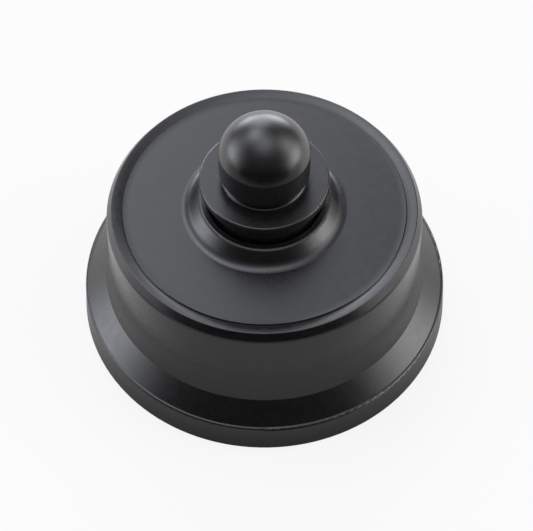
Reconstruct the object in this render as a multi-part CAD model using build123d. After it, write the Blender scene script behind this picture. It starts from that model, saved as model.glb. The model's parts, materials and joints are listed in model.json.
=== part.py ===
from build123d import *

import os
from math import cos, radians, sin, sqrt

# Round surface-mounted rotary LED dimmer with a push-and-turn knob.
# Millimetres, +Z up. The origin is the centre of the back face, which lies on the wall.

# Cover, outside
wall_radius = 22.75
wall_taper = 0.3
foot_flare = 0.85
foot_flare_height = 4.6
slope_run = 2.8
slope_rise = 2.75
lip_height = 4.65
lip_land = 0.45
lip_draft = 0.35
lip_round = 0.4
plate_height = 21.7
shoulder_run = 0.8
shoulder_drop = 1.25
shoulder_round = 0.9
rim_width = 1.45
rim_rise = 0.2
rim_tilt = 4
rim_edge_round = 0.15
groove_depth = 0.15
groove_width = 0.15
plate_lip_width = 0.8
plate_lip_rise = 0.04
boss_rise = 2.1
boss_slope_run = 1.72
boss_cove = 1.7
boss_crown_round = 0.6
boss_land = 1.1
boss_hole_round = 0.25

# Cover, inside
cover_wall = 1.45
cover_top = 1.4
cover_ledge = 2.2
cover_corner_round = 0.8

# Knob
knob_radius = 6.4
knob_cylinder = 3.95
dome_height = 5.0
knob_edge_round = 0.15
neck_recess = 0.7
neck_height = 1.85
neck_cove = 0.35
flange_land = 3.15
flange_thickness = 1.2
flange_edge_round = 0.25
skirt_radius = 8.0
skirt_wall = 0.9
skirt_clearance = 0.3
push_gap = 3.3
push_travel = 1.6
push_clearance = 0.35
hub_radius = 5.6
knob_web = 0.9
insert_radius = 4.3
insert_slot = 0.8
insert_fit = 0.03

# Mounting base
base_floor = 3.0
base_clearance = 0.1
cable_entry_radius = 6.0
fixing_radius = 2.1
fixing_head_radius = 3.6
fixing_head_clearance = 0.3
post_radius = 2.4
post_edge = 2.8

# Grub screw that locks the cover to the base
grub_radius = 1.25
grub_recess = 0.5
grub_tip_radius = 0.75
grub_tip_length = 0.9
grub_tip_clearance = 0.1
grub_socket = 1.3
grub_socket_depth = 1.4
thread_clearance = 0.04

# Module cap and circuit board
cap_headroom = 0.7
cap_gap = 0.5
cap_wall = 1.2
cap_clearance = 0.35
board_thickness = 1.6

# Cap screws
cap_screw_radius = 1.1
cap_screw_hole = 1.3
cap_screw_head_radius = 1.8
cap_screw_head = 1.2
cap_screw_head_clearance = 0.15
cap_screw_sink = 0.3
cap_screw_bite = 3.0
driver_slot = 0.5

# Control: bush, shaft, potentiometer and push switch
shaft_radius = 3.0
shaft_flat = 2.2
shaft_fit = 0.05
shaft_end_cover = 1.2
bush_radius = 4.5
bush_end = 0.3
bush_hole_clearance = 0.1
front_plate = 1.0
washer_radius = 6.4
washer_thickness = 0.5
nut_flats = 11.0
nut_thickness = 2.0
pot_radius = 8.25
pot_wall = 0.9
pot_floor = 0.8
pot_hole_clearance = 0.3
track_inset = 0.1
track_width = 1.8
track_thickness = 0.4
track_gap_angle = 40
wiper_gap = 0.6
wiper_strip = 0.3
wiper_angle = 60
wiper_foot_radius = 0.35
wiper_air = 0.1
rotor_thickness = 1.6
rotor_gap = 1.55
rotor_clearance = 0.15
stop_clearance = 0.25
stop_angle = 28
switch_floor = 0.6
collar_radius = 3.8
collar_thickness = 0.7
seat_gap = 0.05
plunger_radius = 4.0
plunger_thickness = 1.0
plunger_clearance = 0.1
spring_room = 0.9
spring_radius = 2.0
spring_wire_radius = 0.18
spring_turns = 2
bridge_width = 1.0
bridge_inset = 0.1
bridge_thickness = 0.3
contact_air = 0.1
contact_angle = 70

# Terminals
terminal_ways = 3
terminal_roof = 1.0
wire_share = 0.25
way_wall = 1.2
block_side = 1.5
block_gap = 0.4
block_clearance = 1.6
block_wall = 1.2
block_top_rise = 2.6
insert_wall = 0.7
pocket_clearance = 0.1
clamp_screw_radius = 1.2
clamp_screw_ledge = 0.35
clamp_screw_head = 1.4
clamp_screw_sink = 0.2
clamp_head_clearance = 0.2
tail_width = 2.0
tail_thickness = 0.6
tail_reach = 2.4

# Electronics, each set by its gap from the control
choke_angle = 60
choke_gap = 1.05
choke_core_radius = 4.0
choke_core_bore = 2.0
choke_core_height = 3.4
winding_thickness = 0.6
winding_fit = 0.03
winding_turns = 14
winding_turn_angle = 12
winding_pitch_angle = 21
film_angle = 117
film_gap = 3.85
film_length = 10.0
film_width = 5.0
film_height = 7.5
film_round = 0.5
electrolytic_angle = 25
electrolytic_gap = 1.05
electrolytic_radius = 2.5
electrolytic_height = 6.5
electrolytic_round = 0.3
crimp_height = 1.0
crimp_depth = 0.25
trimmer_angle = 157
trimmer_gap = 0.75
trimmer_side = 4.0
trimmer_height = 2.2
dial_radius = 1.5
dial_thickness = 1.0
dial_recess = 0.7
dial_clearance = 0.1
dial_slot_depth = 0.4
dial_access_clearance = 0.3
fuse_gap = 1.25
fuse_end_gap = 0.2
fuse_radius = 1.1
fuse_length = 6.2
fuse_cap_radius = 1.3
fuse_cap_length = 1.4
chip_gap = 0.85
chip_end_gap = 0.7
chip_width = 2.4
chip_length = 4.8
chip_height = 1.4
chip_standoff = 0.15
chip_leads = 4
chip_lead_pitch = 1.2
chip_lead_width = 0.4
chip_lead_reach = 0.5
chip_lead_height = 0.6
transistor_spacing = 15.0
transistor_offset = 10.4
transistor_width = 6.6
transistor_length = 6.1
spreader_length = 23.0
spreader_width = 6.6
spreader_thickness = 0.8
spreader_gap = 1.25
spreader_round = 1.0

# Cover, worked-out radii and heights
waist_radius = wall_radius + wall_taper
crease_radius = waist_radius + foot_flare
slope_foot_radius = crease_radius + slope_run
lip_top_radius = slope_foot_radius + lip_land
foot_radius = lip_top_radius + lip_draft
crease_height = lip_height + slope_rise
waist_height = crease_height + foot_flare_height
crest_radius = wall_radius - shoulder_run
crest_height = plate_height + rim_rise
shoulder_height = crest_height - shoulder_drop
groove_outer = crest_radius - rim_width
groove_radius = groove_outer - groove_width
bore_radius = wall_radius - cover_wall
bore_top = plate_height - cover_top
rebate_radius = bore_radius + cover_ledge
boss_hole_radius = skirt_radius + skirt_clearance
boss_crown_radius = boss_hole_radius + boss_land
boss_foot_radius = boss_crown_radius + boss_slope_run
boss_top = plate_height + boss_rise

# Knob, worked-out radii and heights
neck_radius = knob_radius - neck_recess
flange_radius = neck_radius + neck_cove + flange_land
flange_bottom = boss_top + push_gap
flange_top = flange_bottom + flange_thickness
cylinder_bottom = flange_top + neck_height
dome_bottom = cylinder_bottom + knob_cylinder
knob_top = dome_bottom + dome_height
shaft_top = dome_bottom - shaft_end_cover

# Module, worked out downwards from the cover's ceiling
cap_top = bore_top - cap_headroom
cap_under = cap_top - cap_wall
pot_top = cap_under - front_plate
pot_height = pot_floor + track_thickness + wiper_gap + rotor_thickness + rotor_clearance
pot_bottom = pot_top - pot_height
track_bottom = pot_bottom + pot_floor
track_top = track_bottom + track_thickness
rotor_bottom = track_top + wiper_gap
rotor_top = rotor_bottom + rotor_thickness
collar_top = pot_bottom - seat_gap
shaft_bottom = collar_top - collar_thickness
plunger_top = shaft_bottom - seat_gap
plunger_bottom = plunger_top - plunger_thickness
cavity_bottom = plunger_bottom - push_travel - spring_room
board_top = cavity_bottom - switch_floor
board_bottom = board_top - board_thickness
nut_bottom = cap_top + washer_thickness
nut_top = nut_bottom + nut_thickness
bush_top = nut_top + bush_end
skirt_bottom = cap_top + push_travel + push_clearance
hub_bottom = bush_top + push_travel + push_clearance
pot_bore = pot_radius - pot_wall
pot_hole_radius = shaft_radius + pot_hole_clearance
rotor_radius = pot_bore - rotor_gap
track_outer = rotor_radius - track_inset
track_inner = track_outer - track_width
lug_radius = pot_bore - stop_clearance
bridge_outer = plunger_radius - bridge_inset
bridge_inner = bridge_outer - bridge_width
cap_screw_seat = cap_top - cap_screw_sink - cap_screw_head

# Base, board and terminals, worked-out places
base_radius = rebate_radius - base_clearance
grub_height = base_floor / 2
board_radius = bore_radius - cap_gap
board_front = pot_radius + cap_clearance + cap_wall
fixing_offset = bore_radius - fixing_head_radius - fixing_head_clearance
notch_radius = fixing_head_radius + fixing_head_clearance
post_circle = board_radius - post_edge
front_post_y = post_edge - board_front
front_post_x = sqrt(post_circle**2 - front_post_y**2)
post_places = [(0, post_circle), (front_post_x, front_post_y), (-front_post_x, front_post_y)]
wire_radius = wire_share * (board_bottom - base_floor)
wire_axis = board_bottom - terminal_roof - wire_radius
clamp_screw_head_radius = clamp_screw_radius + clamp_screw_ledge
insert_side = 2 * (clamp_screw_radius + insert_wall)
terminal_pitch = insert_side + 2 * pocket_clearance + way_wall
terminal_places = [(way - (terminal_ways - 1) / 2) * terminal_pitch for way in range(terminal_ways)]
block_width = terminal_pitch * (terminal_ways - 1) + insert_side + 2 * block_side
block_outer = sqrt((bore_radius - block_clearance) ** 2 - (block_width / 2) ** 2)
block_inner = board_front + block_gap
block_length = block_outer - block_inner
block_y = -(block_outer + block_inner) / 2
block_top = board_bottom + block_top_rise
insert_length = block_length - 2 * block_wall
clamp_head_top = block_top - clamp_screw_sink
clamp_head_bottom = clamp_head_top - clamp_screw_head
tail_end = tail_reach - board_front

# Electronics, worked-out places
cap_front_inside = board_front - cap_wall
choke_distance = pot_radius + choke_gap + choke_core_radius + winding_thickness
film_distance = pot_radius + film_gap + film_width / 2
electrolytic_distance = pot_radius + electrolytic_gap + electrolytic_radius
trimmer_distance = pot_radius + trimmer_gap + trimmer_side / 2
fuse_x = -(pot_radius + fuse_gap + fuse_cap_radius)
fuse_start = fuse_end_gap - cap_front_inside
fuse_end = fuse_start + fuse_length
chip_x = pot_radius + chip_gap + chip_lead_reach + chip_width / 2
chip_y = chip_end_gap - cap_front_inside + chip_length / 2
transistor_height = board_bottom - base_floor - spreader_thickness - spreader_gap
overcut = 1.0


def disc(radius, bottom, top, x=0, y=0):
    """Upright cylinder between two heights."""
    up = (Align.CENTER, Align.CENTER, Align.MIN)
    return Pos(x, y, bottom) * Cylinder(radius, top - bottom, align=up)


def ring(outer, inner, bottom, top, x=0, y=0):
    """Upright ring between two heights."""
    bore = disc(inner, bottom - overcut, top + overcut, x, y)
    return disc(outer, bottom, top, x, y) - bore


def block(width, length, bottom, top, x=0, y=0, turn=0):
    """Upright box between two heights, turned about its own middle."""
    up = (Align.CENTER, Align.CENTER, Align.MIN)
    return Pos(x, y, bottom) * Rot(0, 0, turn) * Box(width, length, top - bottom, align=up)


def bar_along_y(radius, start, end, x, z):
    """Round bar or hole that lies along Y."""
    return Pos(x, start, z) * Rot(-90, 0, 0) * disc(radius, 0, end - start)


def sector(radius, middle_angle, spread, bottom, top):
    """Slice of a disc, spread evenly about an angle, for spreads under 180 degrees."""
    arc = CenterArc((0, 0), radius, middle_angle - spread / 2, spread)
    face = make_face([Line((0, 0), arc @ 0), arc, Line(arc @ 1, (0, 0))])
    return prism(face, bottom, top)


def prism(outline, bottom, top):
    """A flat outline drawn up between two heights."""
    return Pos(0, 0, bottom) * extrude(outline, top - bottom)


def turned(edges):
    """A closed outline of radius and height, turned about the Z axis."""
    return revolve(Plane.XZ * make_face(edges), Axis.Z)


def ring_edge(solid, corner):
    """The round edge that a corner of the outline leaves on a turned piece."""
    rings = solid.edges().filter_by(GeomType.CIRCLE)
    return rings.sort_by(lambda ring: abs(ring.radius - corner[0]) + abs(ring.arc_center.Z - corner[1]))[0]


def polygon_edges(points):
    """The sides of a closed outline of straight runs."""
    return [Line(start, end) for start, end in zip(points, points[1:] + points[:1])]


def polar(angle, distance):
    """Place on the board at an angle about the control."""
    return distance * cos(radians(angle)), distance * sin(radians(angle))


def d_section(radius, flat):
    """Round section with one flat, facing +Y."""
    return Circle(radius) - Pos(0, flat + radius) * Rectangle(2 * radius, 2 * radius)


def hexagon(across_flats):
    """Regular hexagon, sized as a spanner is."""
    return RegularPolygon(across_flats / 2, 6, major_radius=False)


def round_upright_edges(solid, radius):
    """Soften the upright corners of a moulded box."""
    return fillet(solid.edges().filter_by(Axis.Z), radius)


def group(pieces):
    """Separate solids kept together."""
    return Compound(children=[solid for piece in pieces for solid in piece.solids()])


def board_outline(inset=0):
    """Round board with a straight front and a bay at each fixing hole."""
    front = board_front - inset
    outline = Circle(board_radius - inset)
    outline -= Pos(0, -front - board_radius) * Rectangle(2 * board_radius, 2 * board_radius)
    for side in (1, -1):
        outline -= Pos(side * fixing_offset, 0) * Circle(notch_radius + inset)
    return outline


def make_dress_cover():
    """One turned shell: lip, slope, waisted wall, grooved top and coved boss."""
    foot = (foot_radius, 0)
    lip_top = (lip_top_radius, lip_height)
    slope_foot = (slope_foot_radius, lip_height)
    crease = (crease_radius, crease_height)
    waist = (waist_radius, waist_height)
    wall_top = (wall_radius, shoulder_height)
    crest = (crest_radius, crest_height)
    rim_fall = (-cos(radians(rim_tilt)), -sin(radians(rim_tilt)))
    groove_floor = (groove_outer, plate_height - groove_depth)
    groove_edge = (groove_radius, plate_height + plate_lip_rise)
    plate_edge = (groove_radius - plate_lip_width, plate_height)
    boss_foot = (boss_foot_radius, plate_height)
    boss_crown = (boss_crown_radius, boss_top)
    hole_edge = (boss_hole_radius + boss_hole_round, boss_top)
    hole_top = (boss_hole_radius, boss_top - boss_hole_round)
    hole_bottom = (boss_hole_radius, bore_top)
    ceiling_end = (bore_radius - cover_corner_round, bore_top)
    bore_start = (bore_radius, bore_top - cover_corner_round)
    ledge_in = (bore_radius, base_floor)
    ledge_out = (rebate_radius, base_floor)
    rebate_foot = (rebate_radius, 0)
    wall_run = (wall_top[0] - waist[0], wall_top[1] - waist[1])
    cover = turned(
        [
            Line(foot, lip_top),
            Line(lip_top, slope_foot),
            Line(slope_foot, crease),
            TangentArc(waist, crease, tangent=(-wall_run[0], -wall_run[1])),
            Line(waist, wall_top),
            Line(wall_top, crest),
            TangentArc(crest, groove_floor, tangent=rim_fall),
            Line(groove_floor, groove_edge),
            TangentArc(plate_edge, groove_edge, tangent=(1, 0)),
            Line(plate_edge, boss_foot),
            Line(boss_foot, boss_crown),
            Line(boss_crown, hole_edge),
            TangentArc(hole_edge, hole_top, tangent=(-1, 0)),
            Line(hole_top, hole_bottom),
            Line(hole_bottom, ceiling_end),
            TangentArc(ceiling_end, bore_start, tangent=(1, 0)),
            Line(bore_start, ledge_in),
            Line(ledge_in, ledge_out),
            Line(ledge_out, rebate_foot),
            Line(rebate_foot, foot),
        ]
    )
    cover = fillet(ring_edge(cover, lip_top), lip_round)
    cover = fillet(ring_edge(cover, wall_top), shoulder_round)
    cover = fillet(ring_edge(cover, crest), rim_edge_round)
    cover = fillet(ring_edge(cover, boss_foot), boss_cove)
    cover = fillet(ring_edge(cover, boss_crown), boss_crown_round)
    grub_bore = grub_radius + thread_clearance
    return cover - bar_along_y(grub_bore, bore_radius, foot_radius + overcut, 0, grub_height)


def make_cover_grub_screw():
    """Headless socket screw with a dog point, through the lip at the back."""
    outer_end = foot_radius - grub_recess
    point_start = rebate_radius
    point_end = base_radius - grub_tip_length
    screw = bar_along_y(grub_radius, point_start, outer_end, 0, grub_height)
    screw += bar_along_y(grub_tip_radius, point_end, point_start, 0, grub_height)
    socket = extrude(hexagon(grub_socket), grub_socket_depth + overcut)
    return screw - Pos(0, outer_end - grub_socket_depth, grub_height) * Rot(-90, 0, 0) * socket


def make_knob():
    """One turned piece: dome, cylinder, neck, flange, hollow skirt and hub."""
    apex = (0, knob_top)
    dome_edge = (knob_radius, dome_bottom)
    cylinder_foot = (knob_radius, cylinder_bottom)
    neck_head = (neck_radius, cylinder_bottom)
    neck_foot = (neck_radius, flange_top + neck_cove)
    cove_foot = (neck_radius + neck_cove, flange_top)
    flange_upper = (flange_radius - flange_edge_round, flange_top)
    rim_upper = (flange_radius, flange_top - flange_edge_round)
    rim_lower = (flange_radius, flange_bottom + flange_edge_round)
    flange_lower = (flange_radius - flange_edge_round, flange_bottom)
    insert_bore = insert_radius + insert_fit
    inside = [
        flange_lower,
        (skirt_radius, flange_bottom),
        (skirt_radius, skirt_bottom),
        (skirt_radius - skirt_wall, skirt_bottom),
        (skirt_radius - skirt_wall, flange_top - knob_web),
        (hub_radius, flange_top - knob_web),
        (hub_radius, hub_bottom),
        (insert_bore, hub_bottom),
        (insert_bore, shaft_top),
        (0, shaft_top),
        apex,
    ]
    knob = turned(
        [
            TangentArc(apex, dome_edge, tangent=(1, 0)),
            Line(dome_edge, cylinder_foot),
            Line(cylinder_foot, neck_head),
            Line(neck_head, neck_foot),
            TangentArc(neck_foot, cove_foot, tangent=(0, -1)),
            Line(cove_foot, flange_upper),
            TangentArc(flange_upper, rim_upper, tangent=(1, 0)),
            Line(rim_upper, rim_lower),
            TangentArc(rim_lower, flange_lower, tangent=(0, -1)),
        ]
        + [Line(start, end) for start, end in zip(inside, inside[1:])]
    )
    knob = fillet(ring_edge(knob, dome_edge), knob_edge_round)
    return fillet(ring_edge(knob, cylinder_foot), knob_edge_round)


def make_knob_insert():
    """Split sleeve pressed into the knob, with a flatted bore for the shaft."""
    sleeve = disc(insert_radius, hub_bottom, shaft_top)
    sleeve -= prism(d_section(shaft_radius + insert_fit, shaft_flat + insert_fit), hub_bottom, shaft_top)
    return sleeve - block(insert_slot, insert_radius, hub_bottom, shaft_top, y=-insert_radius)


def make_shaft():
    """Control shaft with a flat for the knob, a flat for the rotor and a collar at its foot."""
    lower_flat_top = rotor_top + push_travel + push_clearance
    shaft = disc(shaft_radius, shaft_bottom, shaft_top)
    for bottom, top in ((collar_top, lower_flat_top), (hub_bottom - push_clearance, shaft_top)):
        shaft -= block(2 * shaft_radius, shaft_radius, bottom, top, y=shaft_flat + shaft_radius / 2)
    return shaft + disc(collar_radius, shaft_bottom, collar_top)


def make_mounting_base():
    """Moulded disc with a cable entry, two fixing holes and three posts for the module."""
    base = disc(base_radius, 0, base_floor)
    for x, y in post_places:
        base += disc(post_radius, base_floor, board_bottom, x, y)
        pilot_bottom = board_bottom - cap_screw_bite - cap_screw_sink
        base -= disc(cap_screw_radius + thread_clearance, pilot_bottom, board_bottom + overcut, x, y)
    base -= disc(cable_entry_radius, -overcut, base_floor + overcut)
    for side in (1, -1):
        base -= disc(fixing_radius, -overcut, base_floor + overcut, side * fixing_offset)
    dimple_end = base_radius - grub_tip_length - grub_tip_clearance
    dimple_radius = grub_tip_radius + grub_tip_clearance
    return base - bar_along_y(dimple_radius, dimple_end, base_radius + overcut, 0, grub_height)


def make_circuit_board():
    """Flat board with three screw holes."""
    board = prism(board_outline(), board_bottom, board_top)
    for x, y in post_places:
        board -= disc(cap_screw_hole, board_bottom - overcut, board_top + overcut, x, y)
    return board


def make_module_cap():
    """Moulded insulating cap with screw pillars, a bush hole and a hole over the trimmer."""
    cap = prism(board_outline(), board_top, cap_top)
    cap -= prism(board_outline(cap_wall), board_top - overcut, cap_under)
    for x, y in post_places:
        cap += disc(post_radius, board_top, cap_top, x, y)
    for x, y in post_places:
        cap -= disc(cap_screw_hole, board_top - overcut, cap_top + overcut, x, y)
        head_hole = cap_screw_head_radius + cap_screw_head_clearance
        cap -= disc(head_hole, cap_screw_seat, cap_top + overcut, x, y)
    cap -= disc(bush_radius + bush_hole_clearance, cap_under - overcut, cap_top + overcut)
    x, y = polar(trimmer_angle, trimmer_distance)
    return cap - disc(dial_radius + dial_access_clearance, cap_under - overcut, cap_top + overcut, x, y)


def make_cap_screws():
    """Slotted screws through the cap and the board into the base's posts."""
    screws = []
    for x, y in post_places:
        head_top = cap_screw_seat + cap_screw_head
        screw = disc(cap_screw_radius, board_bottom - cap_screw_bite, cap_screw_seat, x, y)
        screw += disc(cap_screw_head_radius, cap_screw_seat, head_top, x, y)
        slot_bottom = head_top - driver_slot
        screw -= block(2 * cap_screw_head_radius, driver_slot, slot_bottom, head_top + overcut, x, y)
        screws.append(screw)
    return group(screws)


def make_threaded_bush():
    """Front plate of the control with its bush."""
    bush = disc(pot_radius, pot_top, cap_under) + disc(bush_radius, cap_under, bush_top)
    return bush - disc(shaft_radius + shaft_fit, pot_top - overcut, bush_top + overcut)


def make_bush_washer():
    """Flat washer on the cap."""
    return ring(washer_radius, bush_radius + bush_hole_clearance, cap_top, nut_bottom)


def make_bush_nut():
    """Hexagon nut that clamps the control under the cap."""
    nut = prism(hexagon(nut_flats), nut_bottom, nut_top)
    return nut - disc(bush_radius + thread_clearance, nut_bottom - overcut, nut_top + overcut)


def make_pot_case():
    """Cup of the potentiometer, with an end stop inside its wall."""
    case = ring(pot_radius, pot_bore, pot_bottom, pot_top)
    case += ring(pot_radius, pot_hole_radius, pot_bottom, track_bottom)
    stop = sector(pot_radius - pot_wall / 2, -90, stop_angle, track_bottom, pot_top)
    return case + (stop - disc(rotor_radius + stop_clearance, track_bottom - overcut, pot_top + overcut))


def make_resistive_track():
    """Horseshoe track on the floor of the cup."""
    track = ring(track_outer, track_inner, track_bottom, track_top)
    gap = sector(track_outer + overcut, -90, track_gap_angle, track_bottom - overcut, track_top + overcut)
    return track - gap


def make_pot_rotor():
    """Rotor on the shaft's lower flat, with a lug that meets the end stop."""
    rotor = disc(rotor_radius, rotor_bottom, rotor_top)
    rotor += sector(lug_radius, 90, stop_angle, rotor_bottom, rotor_top)
    bore = d_section(shaft_radius + shaft_fit, shaft_flat + shaft_fit)
    return rotor - prism(bore, rotor_bottom - overcut, rotor_top + overcut)


def make_wiper():
    """Sprung strip under the rotor with two feet over the track."""
    strip_bottom = rotor_bottom - wiper_strip
    wiper = sector(track_outer, 90, wiper_angle, strip_bottom, rotor_bottom)
    wiper -= disc(track_inner, strip_bottom - overcut, rotor_bottom + overcut)
    for lean in (-wiper_angle / 4, wiper_angle / 4):
        x, y = polar(90 + lean, (track_inner + track_outer) / 2)
        wiper += disc(wiper_foot_radius, track_top + wiper_air, strip_bottom, x, y)
    return wiper


def make_switch_case():
    """Case of the push switch, open towards the shaft."""
    case = disc(pot_radius, board_top, pot_bottom)
    return case - disc(plunger_radius + plunger_clearance, cavity_bottom, pot_bottom + overcut)


def make_switch_plunger():
    """Disc that the shaft's collar pushes down."""
    return disc(plunger_radius, plunger_bottom, plunger_top)


def make_contact_bridge():
    """Ring under the plunger that joins the two contacts."""
    return ring(bridge_outer, bridge_inner, plunger_bottom - bridge_thickness, plunger_bottom)


def make_switch_contacts():
    """Two curved contacts on the floor of the switch."""
    top = cavity_bottom + spring_room - bridge_thickness - contact_air
    middle = disc(bridge_inner, cavity_bottom - overcut, top + overcut)
    contacts = [sector(bridge_outer, angle, contact_angle, cavity_bottom, top) for angle in (0, 180)]
    return group([contact - middle for contact in contacts])


def make_switch_spring():
    """Return spring between the switch's floor and the plunger."""
    bottom = cavity_bottom + spring_wire_radius
    rise = plunger_bottom - cavity_bottom - 2 * spring_wire_radius
    path = Pos(0, 0, bottom) * Helix(rise / spring_turns, rise, spring_radius)
    section = Plane(path @ 0, z_dir=path % 0) * Circle(spring_wire_radius)
    return sweep(section, path=path, is_frenet=True)


def make_terminal_block():
    """Moulded block on the base, with a pocket, a wire hole and a screw hole for each way."""
    body = block(block_width, block_length, base_floor, block_top, y=block_y)
    tail_bottom = board_bottom - tail_thickness - pocket_clearance
    pocket_top = board_bottom + pocket_clearance
    inner_face = -block_inner + overcut
    head_hole = clamp_screw_head_radius + clamp_head_clearance
    for x in terminal_places:
        side = insert_side + 2 * pocket_clearance
        length = insert_length + 2 * pocket_clearance
        body -= block(side, length, base_floor - overcut, pocket_top, x, block_y)
        body -= bar_along_y(wire_radius + pocket_clearance, block_y, inner_face, x, wire_axis)
        body -= disc(head_hole, board_bottom, block_top + overcut, x, block_y)
        slot_length = inner_face - block_y
        slot_width = tail_width + 2 * pocket_clearance
        body -= block(slot_width, slot_length, tail_bottom, pocket_top, x, block_y + slot_length / 2)
    return body


def make_terminal_inserts():
    """Brass tunnel terminals, each with a tail to the underside of the board."""
    inserts = []
    for x in terminal_places:
        body = block(insert_side, insert_length, base_floor, board_bottom, x, block_y)
        tail_length = tail_end - block_y
        tail_bottom = board_bottom - tail_thickness
        body += block(tail_width, tail_length, tail_bottom, board_bottom, x, block_y + tail_length / 2)
        body -= bar_along_y(wire_radius, block_y - insert_length, block_y + insert_length, x, wire_axis)
        body -= disc(clamp_screw_radius + thread_clearance, wire_axis, board_bottom + overcut, x, block_y)
        inserts.append(body)
    return group(inserts)


def make_terminal_screws():
    """Slotted clamping screws, backed off to leave the wire holes open."""
    screws = []
    for x in terminal_places:
        screw = disc(clamp_screw_radius, wire_axis + wire_radius, clamp_head_bottom, x, block_y)
        screw += disc(clamp_screw_head_radius, clamp_head_bottom, clamp_head_top, x, block_y)
        slot_bottom = clamp_head_top - driver_slot
        slot_width = 2 * clamp_screw_head_radius
        screw -= block(slot_width, driver_slot, slot_bottom, clamp_head_top + overcut, x, block_y)
        screws.append(screw)
    return group(screws)


def make_choke_core():
    """Ferrite ring that lies flat on its winding."""
    x, y = polar(choke_angle, choke_distance)
    bottom = board_top + winding_thickness
    return ring(choke_core_radius, choke_core_bore, bottom, bottom + choke_core_height, x, y)


def make_choke_winding():
    """Turns of wire round the ferrite ring."""
    top = board_top + choke_core_height + 2 * winding_thickness
    outer = choke_core_radius + winding_thickness
    sleeve = ring(outer, choke_core_bore - winding_thickness, board_top, top)
    core_bottom = board_top + winding_thickness - winding_fit
    core_top = top - winding_thickness + winding_fit
    sleeve -= ring(choke_core_radius + winding_fit, choke_core_bore - winding_fit, core_bottom, core_top)
    place = Pos(*polar(choke_angle, choke_distance))
    turns = []
    for turn in range(winding_turns):
        cut = sector(outer + overcut, turn * winding_pitch_angle, winding_turn_angle, board_top, top)
        turns.append(place * (sleeve & cut))
    return group(turns)


def make_film_capacitor():
    """Moulded box of the film capacitor, set across the radius."""
    x, y = polar(film_angle, film_distance)
    body = block(film_length, film_width, board_top, board_top + film_height, x, y, film_angle + 90)
    return round_upright_edges(body, film_round)


def make_electrolytic_capacitor():
    """Upright can with a rolled crimp near its foot."""
    top = board_top + electrolytic_height
    waist = electrolytic_radius - crimp_depth
    crimp = board_top + crimp_height
    can = turned(
        polygon_edges(
            [
                (0, board_top),
                (electrolytic_radius, board_top),
                (electrolytic_radius, crimp - crimp_depth),
                (waist, crimp),
                (electrolytic_radius, crimp + crimp_depth),
                (electrolytic_radius, top),
                (0, top),
            ]
        )
    )
    can = fillet(can.faces().sort_by(Axis.Z)[-1].edges(), electrolytic_round)
    return Pos(*polar(electrolytic_angle, electrolytic_distance)) * can


def make_fuse():
    """Small tube fuse that lies along Y on its end caps."""
    height = board_top + fuse_cap_radius
    fuse = bar_along_y(fuse_radius, fuse_start, fuse_end, fuse_x, height)
    fuse += bar_along_y(fuse_cap_radius, fuse_start, fuse_start + fuse_cap_length, fuse_x, height)
    return fuse + bar_along_y(fuse_cap_radius, fuse_end - fuse_cap_length, fuse_end, fuse_x, height)


def make_driver_chip():
    """Small outline chip on its leads."""
    chip = block(chip_width, chip_length, board_top + chip_standoff, board_top + chip_height, chip_x, chip_y)
    lead_span = chip_width + 2 * chip_lead_reach
    for lead in range(chip_leads):
        lead_y = chip_y + (lead - (chip_leads - 1) / 2) * chip_lead_pitch
        chip += block(lead_span, chip_lead_width, board_top, board_top + chip_lead_height, chip_x, lead_y)
    return chip


def make_level_trimmer():
    """Square body of the trimmer, with a round recess for its dial."""
    x, y = polar(trimmer_angle, trimmer_distance)
    top = board_top + trimmer_height
    body = block(trimmer_side, trimmer_side, board_top, top, x, y, trimmer_angle)
    return body - disc(dial_radius + dial_clearance, top - dial_recess, top + overcut, x, y)


def make_trimmer_dial():
    """Slotted dial of the trimmer."""
    x, y = polar(trimmer_angle, trimmer_distance)
    bottom = board_top + trimmer_height - dial_recess
    top = bottom + dial_thickness
    dial = disc(dial_radius, bottom, top, x, y)
    return dial - block(2 * dial_radius, driver_slot, top - dial_slot_depth, top + overcut, x, y)


def make_power_transistors():
    """Two flat transistors under the board."""
    bottom = board_bottom - transistor_height
    package = block(transistor_width, transistor_length, bottom, board_bottom, y=transistor_offset)
    return group([Pos(side * transistor_spacing / 2, 0) * package for side in (-1, 1)])


def make_heat_spreader():
    """Aluminium plate across both transistors."""
    top = board_bottom - transistor_height
    plate = block(spreader_length, spreader_width, top - spreader_thickness, top, y=transistor_offset)
    return round_upright_edges(plate, spreader_round)


makers = {
    "dress_cover": make_dress_cover,
    "cover_grub_screw": make_cover_grub_screw,
    "knob": make_knob,
    "knob_insert": make_knob_insert,
    "shaft": make_shaft,
    "mounting_base": make_mounting_base,
    "circuit_board": make_circuit_board,
    "module_cap": make_module_cap,
    "cap_screws": make_cap_screws,
    "threaded_bush": make_threaded_bush,
    "bush_washer": make_bush_washer,
    "bush_nut": make_bush_nut,
    "pot_case": make_pot_case,
    "resistive_track": make_resistive_track,
    "pot_rotor": make_pot_rotor,
    "wiper": make_wiper,
    "switch_case": make_switch_case,
    "switch_plunger": make_switch_plunger,
    "contact_bridge": make_contact_bridge,
    "switch_contacts": make_switch_contacts,
    "switch_spring": make_switch_spring,
    "terminal_block": make_terminal_block,
    "terminal_inserts": make_terminal_inserts,
    "terminal_screws": make_terminal_screws,
    "choke_core": make_choke_core,
    "choke_winding": make_choke_winding,
    "film_capacitor": make_film_capacitor,
    "electrolytic_capacitor": make_electrolytic_capacitor,
    "fuse": make_fuse,
    "driver_chip": make_driver_chip,
    "level_trimmer": make_level_trimmer,
    "trimmer_dial": make_trimmer_dial,
    "power_transistors": make_power_transistors,
    "heat_spreader": make_heat_spreader,
}

os.makedirs("parts", exist_ok=True)
for node, make in makers.items():
    export_step(make(), f"parts/{node}.step")
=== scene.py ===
import json
import math

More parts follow.
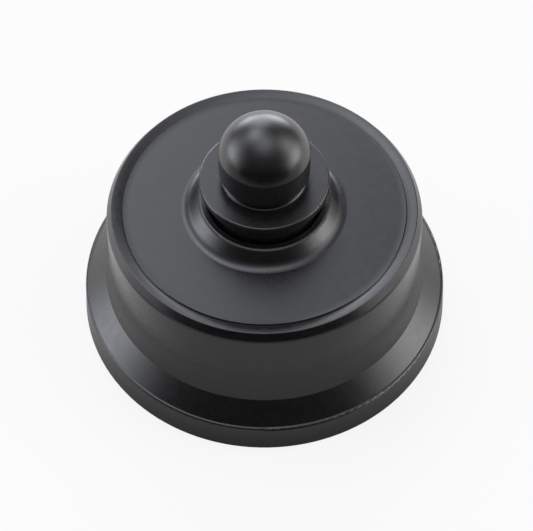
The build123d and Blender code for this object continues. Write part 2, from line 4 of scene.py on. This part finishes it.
import bpy
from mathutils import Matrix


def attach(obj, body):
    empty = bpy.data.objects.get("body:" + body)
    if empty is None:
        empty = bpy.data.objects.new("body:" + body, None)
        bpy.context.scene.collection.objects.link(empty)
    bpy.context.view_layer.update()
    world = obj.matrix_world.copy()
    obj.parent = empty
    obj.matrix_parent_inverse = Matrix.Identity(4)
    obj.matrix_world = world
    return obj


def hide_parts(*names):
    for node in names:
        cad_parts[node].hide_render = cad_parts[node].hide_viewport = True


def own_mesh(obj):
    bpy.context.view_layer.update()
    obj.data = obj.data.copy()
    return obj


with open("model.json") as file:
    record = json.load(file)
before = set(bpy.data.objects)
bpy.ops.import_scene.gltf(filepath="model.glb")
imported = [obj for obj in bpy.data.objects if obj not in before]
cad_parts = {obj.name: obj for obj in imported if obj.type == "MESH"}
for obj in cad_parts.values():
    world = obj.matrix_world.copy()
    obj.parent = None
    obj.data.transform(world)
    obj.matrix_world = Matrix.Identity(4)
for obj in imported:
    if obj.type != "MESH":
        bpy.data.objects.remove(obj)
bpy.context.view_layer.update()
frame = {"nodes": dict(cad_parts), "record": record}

scene = bpy.context.scene
scene.view_settings.view_transform = "Standard"

MM = 0.001

# Camera, fitted to the photograph's 533 by 531 pixels
camera_lens = 108.1
camera_sensor = 36.0
camera_near = 10 * MM
camera_elevation = math.radians(54.87)
camera_place = (0.3 * MM, -139.25 * MM, 204.65 * MM)

# Studio lights: azimuth from the back round to the right, elevation, sharpness, level, tint
cool = (0.96, 0.985, 1.075)
neutral = (0.985, 1.0, 0.99)
studio_lights = {
    "back_left_low": (340, 4, 30, 5.5, cool),
    "back_right_low": (13, 4, 24, 6.0, cool),
    "back_middle": (353, 32, 24, 2.4, cool),
    "left_low": (274, 6, 14, 3.4, cool),
    "right_low": (92, 3, 13, 3.7, neutral),
    "right_middle": (82, 41, 22, 1.6, neutral),
    "high_left": (320, 60, 30, 2.7, cool),
    "left_high": (285, 43, 24, 0.6, cool),
    "overhead": (180, 86, 14, 1.55, cool),
}
room_light = 0.085

# Floor, with painted shade in its reflected glow in front and near the foot, and a black card
# that keeps the front out of the reflections as a painted dark reflection
floor_radius = 3.0
floor_sides = 128
floor_drop = 0.1 * MM
floor_glow = 0.85
# Painted shade: levels and places where the floor's glow in reflections is darkened, in front and
# near the foot
floor_front_painted_shade = 0.35
floor_front = -30 * MM
floor_back = 5 * MM
floor_contact_painted_shade = 0.5
contact_start = 27.5 * MM
contact_end = 32 * MM
# Black card seen only in reflections: a painted dark reflection in front
card_distance = 105 * MM
card_width = 320 * MM
card_height = 70 * MM

# Part of a noise's range that colours and numbers are spread over
noise_low = 0.3
noise_high = 0.7

# Return spring of the push switch, from the switch's floor to the plunger
spring_floor = 9.55 * MM
spring_top = 12.05 * MM
spring_radius = 2.0 * MM
spring_wire = 0.18 * MM
spring_turns = 2


class Shader:
    """A material's nodes, with its Principled shader at hand."""

    def __init__(self, name):
        self.material = bpy.data.materials.new(name)
        self.material.use_nodes = True
        self.nodes = self.material.node_tree.nodes
        self.links = self.material.node_tree.links
        self.surface = self.nodes["Principled BSDF"]
        self.place = self.nodes.new("ShaderNodeTexCoord").outputs["Object"]

    def noise(self, scale, detail=2.0, stretch=None):
        """Noise over the object's own metres: scale is in features per metre."""
        texture = self.nodes.new("ShaderNodeTexNoise")
        texture.inputs["Scale"].default_value = scale
        texture.inputs["Detail"].default_value = detail
        source = self.place
        if stretch is not None:
            mapping = self.nodes.new("ShaderNodeMapping")
            mapping.inputs["Scale"].default_value = stretch
            self.links.new(self.place, mapping.inputs["Vector"])
            source = mapping.outputs["Vector"]
        self.links.new(source, texture.inputs["Vector"])
        return texture.outputs["Fac"]

    def spread(self, value, low, high):
        """A texture's middle range, spread between two numbers."""
        span = self.nodes.new("ShaderNodeMapRange")
        span.inputs["From Min"].default_value = noise_low
        span.inputs["From Max"].default_value = noise_high
        span.inputs["To Min"].default_value = low
        span.inputs["To Max"].default_value = high
        self.links.new(value, span.inputs["Value"])
        return span.outputs["Result"]

    def colour(self, value, low, high):
        """Base colour that runs between two colours with a texture."""
        ramp = self.nodes.new("ShaderNodeValToRGB")
        ramp.color_ramp.elements[0].position = noise_low
        ramp.color_ramp.elements[0].color = (*low, 1.0)
        ramp.color_ramp.elements[1].position = noise_high
        ramp.color_ramp.elements[1].color = (*high, 1.0)
        self.links.new(value, ramp.inputs["Fac"])
        self.links.new(ramp.outputs["Color"], self.surface.inputs["Base Color"])

    def roughness(self, value, low, high):
        self.links.new(self.spread(value, low, high), self.surface.inputs["Roughness"])

    def bump(self, value, strength, depth):
        bump = self.nodes.new("ShaderNodeBump")
        bump.inputs["Strength"].default_value = strength
        bump.inputs["Distance"].default_value = depth
        self.links.new(value, bump.inputs["Height"])
        self.links.new(bump.outputs["Normal"], self.surface.inputs["Normal"])

    def soft_step(self, value, start, end, low):
        """A soft step from low up to 1 between two places."""
        step = self.nodes.new("ShaderNodeMapRange")
        step.interpolation_type = "SMOOTHSTEP"
        step.inputs["From Min"].default_value = start
        step.inputs["From Max"].default_value = end
        step.inputs["To Min"].default_value = low
        self.links.new(value, step.inputs["Value"])
        return step.outputs["Result"]

    def with_glow(self, surface, rays, strength=None):
        """A surface that glows white for some rays."""
        glow = self.nodes.new("ShaderNodeEmission")
        if strength is not None:
            self.links.new(strength, glow.inputs["Strength"])
        mix = self.nodes.new("ShaderNodeMixShader")
        self.links.new(rays, mix.inputs["Fac"])
        self.links.new(surface, mix.inputs[1])
        self.links.new(glow.outputs["Emission"], mix.inputs[2])
        return mix.outputs["Shader"]


def shades(colour, spread):
    """A darker and a lighter shade of one colour."""
    low = [channel * (1 - spread) for channel in colour]
    high = [channel * (1 + spread) for channel in colour]
    return low, high


def satin_black(name):
    """Sprayed satin black: an even dark coat with a very fine grain."""
    shader = Shader(name)
    cloud = shader.noise(350, 3)
    grain = shader.noise(5200, 2)
    shader.colour(cloud, *shades((0.005, 0.005, 0.0053), 0.12))
    shader.roughness(shader.noise(900, 3), 0.26, 0.31)
    shader.bump(grain, 0.06, 0.02 * MM)
    shader.surface.inputs["Specular IOR Level"].default_value = 1.0
    return shader.material


def moulding(name, colour, rough=0.5, grain=2600, depth=0.03):
    """Moulded plastic with a fine spark-eroded grain and slight flow clouds."""
    shader = Shader(name)
    shader.colour(shader.noise(220, 3), *shades(colour, 0.1))
    shader.roughness(shader.noise(700, 2), rough - 0.06, rough + 0.06)
    shader.bump(shader.noise(grain, 2), 0.2, depth * MM)
    return shader.material


def metal(name, colour, rough=0.3, stretch=(1, 1, 14), scale=900):
    """Turned or rolled metal with faint tool lines."""
    shader = Shader(name)
    lines = shader.noise(scale, 3, stretch)
    shader.colour(shader.noise(400, 2), *shades(colour, 0.08))
    shader.roughness(lines, rough - 0.07, rough + 0.08)
    shader.bump(lines, 0.12, 0.01 * MM)
    shader.surface.inputs["Metallic"].default_value = 1.0
    return shader.material


materials = {
    "satin_black": satin_black("satin_black_coat"),
    "black_steel": metal("blackened_steel", (0.06, 0.06, 0.063), 0.42),
    "steel": metal("zinc_plated_steel", (0.6, 0.6, 0.61), 0.32),
    "brass": metal("turned_brass", (0.72, 0.52, 0.24), 0.28),
    "aluminium": metal("drawn_aluminium", (0.74, 0.75, 0.76), 0.34, (1, 1, 10)),
    "contact_metal": metal("phosphor_bronze", (0.7, 0.43, 0.28), 0.3, (10, 1, 1)),
    "copper_wire": metal("enamelled_copper", (0.62, 0.26, 0.1), 0.25, (1, 1, 1), 1500),
    "base_moulding": moulding("base_plastic", (0.03, 0.03, 0.032), 0.55),
    "cap_moulding": moulding("cap_plastic", (0.26, 0.27, 0.29), 0.5),
    "board": moulding("board_laminate", (0.02, 0.16, 0.07), 0.35, 1400, 0.02),
    "control_moulding": moulding("control_plastic", (0.045, 0.06, 0.11), 0.45),
    "white_moulding": moulding("white_plastic", (0.72, 0.72, 0.69), 0.45),
    "carbon_track": moulding("carbon_film", (0.03, 0.027, 0.025), 0.6, 4200, 0.02),
    "terminal_moulding": moulding("terminal_plastic", (0.62, 0.63, 0.6), 0.48),
    "ferrite": moulding("ferrite_ceramic", (0.06, 0.06, 0.065), 0.6, 3600, 0.04),
    "film_box": moulding("film_capacitor_box", (0.5, 0.08, 0.05), 0.35),
    "can_sleeve": moulding("capacitor_sleeve", (0.035, 0.05, 0.16), 0.25, 1200, 0.02),
    "fuse_ceramic": moulding("fuse_ceramic_body", (0.74, 0.71, 0.64), 0.4, 2200, 0.03),
    "chip_moulding": moulding("chip_epoxy", (0.025, 0.025, 0.027), 0.55, 3800, 0.03),
    "trimmer_moulding": moulding("trimmer_plastic", (0.05, 0.15, 0.42), 0.4),
}

for subpart in frame["record"]["subparts"]:
    node = frame["nodes"][subpart["node"]]
    node.data.materials.clear()
    node.data.materials.append(materials[subpart["material_slot"]])


def coil(name, bottom, top, radius, wire, turns, steps=48, sides=10):
    """Coil spring as one closed tube along a helix."""
    start = bottom + wire
    rise = top - bottom - 2 * wire
    count = steps * turns
    corners = []
    faces = []
    for step in range(count + 1):
        angle = 2 * math.pi * step / steps
        height = start + rise * step / count
        for side in range(sides):
            turn = 2 * math.pi * side / sides
            reach = radius + wire * math.cos(turn)
            across = (reach * math.cos(angle), reach * math.sin(angle))
            corners.append((*across, height + wire * math.sin(turn)))
    for step in range(count):
        for side in range(sides):
            after = (side + 1) % sides
            here = step * sides
            there = here + sides
            faces.append((here + side, there + side, there + after, here + after))
    faces.append(tuple(range(sides)))
    faces.append(tuple(reversed(range(count * sides, (count + 1) * sides))))
    mesh = bpy.data.meshes.new(name)
    mesh.from_pydata(corners, [], faces)
    mesh.shade_smooth()
    piece = bpy.data.objects.new(name, mesh)
    scene.collection.objects.link(piece)
    return piece


spring = coil("return_spring", spring_floor, spring_top, spring_radius, spring_wire, spring_turns)
spring.data.materials.append(materials["steel"])
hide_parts("switch_spring")
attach(spring, "housing")
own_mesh(spring)


def make_floor():
    """Large round floor, white to the camera; in reflections its glow carries painted shade,
    darker in front, and a painted contact shadow near the foot.
    """
    bpy.ops.mesh.primitive_circle_add(
        vertices=floor_sides, radius=floor_radius, fill_type="NGON", location=(0, 0, -floor_drop)
    )
    floor = bpy.context.object
    floor.name = "floor"
    shader = Shader("floor_white")
    shader.colour(shader.noise(3, 2), (0.9, 0.9, 0.9), (0.93, 0.93, 0.93))
    shader.surface.inputs["Roughness"].default_value = 0.9
    shader.surface.inputs["Specular IOR Level"].default_value = 0.0

    rays = shader.nodes.new("ShaderNodeLightPath").outputs
    seen = shader.nodes.new("ShaderNodeMath")
    seen.operation = "MULTIPLY"
    seen.inputs[1].default_value = floor_glow
    shader.links.new(rays["Is Camera Ray"], seen.inputs[0])
    mirrored = shader.nodes.new("ShaderNodeMath")
    mirrored.operation = "MAXIMUM"
    shader.links.new(rays["Is Glossy Ray"], mirrored.inputs[0])
    shader.links.new(rays["Is Transmission Ray"], mirrored.inputs[1])

    split = shader.nodes.new("ShaderNodeSeparateXYZ")
    shader.links.new(shader.place, split.inputs["Vector"])
    reach = shader.nodes.new("ShaderNodeVectorMath")
    reach.operation = "LENGTH"
    shader.links.new(shader.place, reach.inputs[0])
    # Painted shade on the floor's reflected glow: darker towards the front, and a painted contact
    # shadow near the foot
    painted_front_shade = shader.soft_step(split.outputs["Y"], floor_front, floor_back, floor_front_painted_shade)
    clear = shader.soft_step(reach.outputs["Value"], contact_start, contact_end, floor_contact_painted_shade)
    painted_floor_shade = shader.nodes.new("ShaderNodeMath")
    painted_floor_shade.operation = "MULTIPLY"
    shader.links.new(painted_front_shade, painted_floor_shade.inputs[0])
    shader.links.new(clear, painted_floor_shade.inputs[1])

    surface = shader.with_glow(shader.surface.outputs["BSDF"], seen.outputs["Value"])
    surface = shader.with_glow(surface, mirrored.outputs["Value"], painted_floor_shade.outputs["Value"])
    shader.links.new(surface, shader.nodes["Material Output"].inputs["Surface"])
    floor.data.materials.append(shader.material)


def make_reflection_shade_card():
    """Black card in front, seen only in reflections: a painted dark reflection standing in for
    the shade on the front side.
    """
    side = card_width / 2
    corners = [(-side, -card_distance, 0), (side, -card_distance, 0)]
    corners += [(side, -card_distance, card_height), (-side, -card_distance, card_height)]
    mesh = bpy.data.meshes.new("card")
    mesh.from_pydata(corners, [], [(0, 1, 2, 3)])
    card = bpy.data.objects.new("card", mesh)
    scene.collection.objects.link(card)
    # Painted dark reflection: the card's black colour, seen by reflections alone
    shader = Shader("painted_reflection_black")
    shader.colour(shader.noise(20, 2), (0.01, 0.01, 0.01), (0.012, 0.012, 0.012))
    shader.surface.inputs["Specular IOR Level"].default_value = 0.0
    mesh.materials.append(shader.material)
    card.visible_camera = False
    card.visible_diffuse = False
    card.visible_transmission = False
    card.visible_shadow = False


def make_world():
    """Studio of soft round lights, each strongest where it is aimed, and white to the camera."""
    world = bpy.data.worlds.new("studio")
    scene.world = world
    world.use_nodes = True
    nodes = world.node_tree.nodes
    links = world.node_tree.links
    nodes.clear()
    direction = nodes.new("ShaderNodeTexCoord").outputs["Generated"]

    def vector(operation, first):
        node = nodes.new("ShaderNodeVectorMath")
        node.operation = operation
        links.new(first, node.inputs[0])
        return node

    def sharpened(closeness, sharpness):
        scaled = nodes.new("ShaderNodeMath")
        scaled.operation = "MULTIPLY_ADD"
        scaled.inputs[1].default_value = sharpness
        scaled.inputs[2].default_value = -sharpness
        links.new(closeness, scaled.inputs[0])
        lobe = nodes.new("ShaderNodeMath")
        lobe.operation = "EXPONENT"
        links.new(scaled.outputs["Value"], lobe.inputs[0])
        return lobe.outputs["Value"]

    room = nodes.new("ShaderNodeCombineXYZ")
    for socket in room.inputs:
        socket.default_value = room_light
    total = room.outputs["Vector"]
    for azimuth, elevation, sharpness, level, tint in studio_lights.values():
        around = math.radians(azimuth)
        up = math.radians(elevation)
        closeness = vector("DOT_PRODUCT", direction)
        closeness.inputs[1].default_value = (
            math.sin(around) * math.cos(up),
            math.cos(around) * math.cos(up),
            math.sin(up),
        )
        light = nodes.new("ShaderNodeVectorMath")
        light.operation = "SCALE"
        light.inputs[0].default_value = [level * channel for channel in tint]
        links.new(sharpened(closeness.outputs["Value"], sharpness), light.inputs["Scale"])
        added = vector("ADD", total)
        links.new(light.outputs["Vector"], added.inputs[1])
        total = added.outputs["Vector"]
    studio = nodes.new("ShaderNodeBackground")
    links.new(total, studio.inputs["Color"])
    backdrop = nodes.new("ShaderNodeBackground")
    backdrop.inputs["Color"].default_value = (1.0, 1.0, 1.0, 1.0)
    rays = nodes.new("ShaderNodeLightPath").outputs
    seen = nodes.new("ShaderNodeMath")
    seen.operation = "MAXIMUM"
    links.new(rays["Is Camera Ray"], seen.inputs[0])
    links.new(rays["Is Transmission Ray"], seen.inputs[1])
    mix = nodes.new("ShaderNodeMixShader")
    links.new(seen.outputs["Value"], mix.inputs["Fac"])
    links.new(studio.outputs["Background"], mix.inputs[1])
    links.new(backdrop.outputs["Background"], mix.inputs[2])
    output = nodes.new("ShaderNodeOutputWorld")
    links.new(mix.outputs["Shader"], output.inputs["Surface"])


def make_camera():
    """Camera at the photograph's viewing angle."""
    data = bpy.data.cameras.new("camera")
    data.sensor_width = camera_sensor
    data.lens = camera_lens
    data.clip_start = camera_near
    camera = bpy.data.objects.new("camera", data)
    camera.location = camera_place
    camera.rotation_euler = (math.pi / 2 - camera_elevation, 0, 0)
    scene.collection.objects.link(camera)
    scene.camera = camera


make_floor()
make_reflection_shade_card()
make_world()
make_camera()
